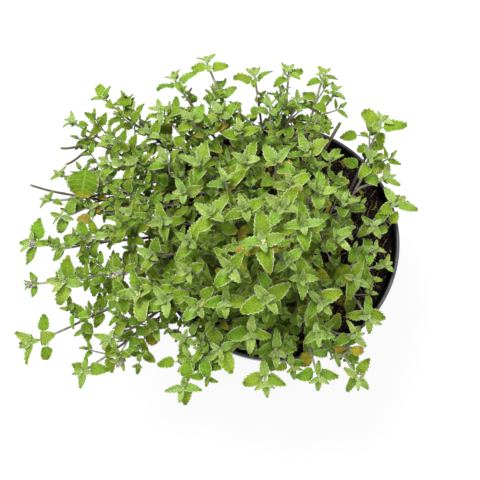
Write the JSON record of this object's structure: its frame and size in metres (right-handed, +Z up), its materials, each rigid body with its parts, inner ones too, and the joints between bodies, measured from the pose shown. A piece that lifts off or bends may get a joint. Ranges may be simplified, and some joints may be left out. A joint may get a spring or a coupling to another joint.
{
  "type": "potted catmint",
  "caption": "Bushy catmint with small scalloped grey-green leaves, sprawling over one side of a round black nursery pot filled with peat.",
  "frame": {"origin": "centre of the pot's flat underside", "axes": "+Z up out of the pot; -X towards the side where the long shoots trail over the rim; +Y to the back"},
  "size_m": [0.2559, 0.2188, 0.2468],
  "materials": {
    "pot_plastic": "black moulded polypropylene, satin, slightly scuffed at the lip",
    "peat": "dark crumbly peat with brown fibres, matte",
    "cut_stem": "bare olive to brown cut stems, matte",
    "catmint_shoot": "soft downy leaves with pale margins on grey-purple stems, matte"
  },
  "bodies": {
    "root": {"pot": "pot_plastic", "peat": "peat", "pruned_fork": "cut_stem", "pruned_long_stem": "cut_stem", "pruned_short_stem": "cut_stem", "shoot_trailing_01": "catmint_shoot", "shoot_trailing_02": "catmint_shoot", "shoot_trailing_03": "catmint_shoot", "shoot_trailing_04": "catmint_shoot", "shoot_trailing_05": "catmint_shoot", "shoot_trailing_06": "catmint_shoot", "shoot_trailing_07": "catmint_shoot", "shoot_trailing_08": "catmint_shoot", "shoot_trailing_09": "catmint_shoot", "shoot_trailing_10": "catmint_shoot", "shoot_trailing_11": "catmint_shoot", "shoot_trailing_12": "catmint_shoot", "shoot_trailing_13": "catmint_shoot", "shoot_back_01": "catmint_shoot", "shoot_back_02": "catmint_shoot", "shoot_back_03": "catmint_shoot", "shoot_back_04": "catmint_shoot", "shoot_back_05": "catmint_shoot", "shoot_back_06": "catmint_shoot", "shoot_back_07": "catmint_shoot", "shoot_back_08": "catmint_shoot", "shoot_right_01": "catmint_shoot", "shoot_right_02": "catmint_shoot", "shoot_right_03": "catmint_shoot", "shoot_right_04": "catmint_shoot", "shoot_right_05": "catmint_shoot", "shoot_right_06": "catmint_shoot", "shoot_right_07": "catmint_shoot", "shoot_front_01": "catmint_shoot", "shoot_front_02": "catmint_shoot", "shoot_front_03": "catmint_shoot", "shoot_front_04": "catmint_shoot", "shoot_front_05": "catmint_shoot", "shoot_front_06": "catmint_shoot", "shoot_front_07": "catmint_shoot", "shoot_middle_01": "catmint_shoot", "shoot_middle_02": "catmint_shoot", "shoot_middle_03": "catmint_shoot", "shoot_middle_04": "catmint_shoot", "shoot_middle_05": "catmint_shoot", "shoot_middle_06": "catmint_shoot", "shoot_middle_07": "catmint_shoot", "shoot_middle_08": "catmint_shoot", "shoot_middle_09": "catmint_shoot", "shoot_middle_10": "catmint_shoot", "shoot_middle_11": "catmint_shoot", "shoot_middle_12": "catmint_shoot", "shoot_middle_13": "catmint_shoot", "shoot_middle_14": "catmint_shoot", "shoot_middle_15": "catmint_shoot", "shoot_middle_16": "catmint_shoot", "shoot_middle_17": "catmint_shoot", "shoot_middle_18": "catmint_shoot", "shoot_middle_19": "catmint_shoot", "shoot_middle_20": "catmint_shoot"}
  },
  "joints": []
}
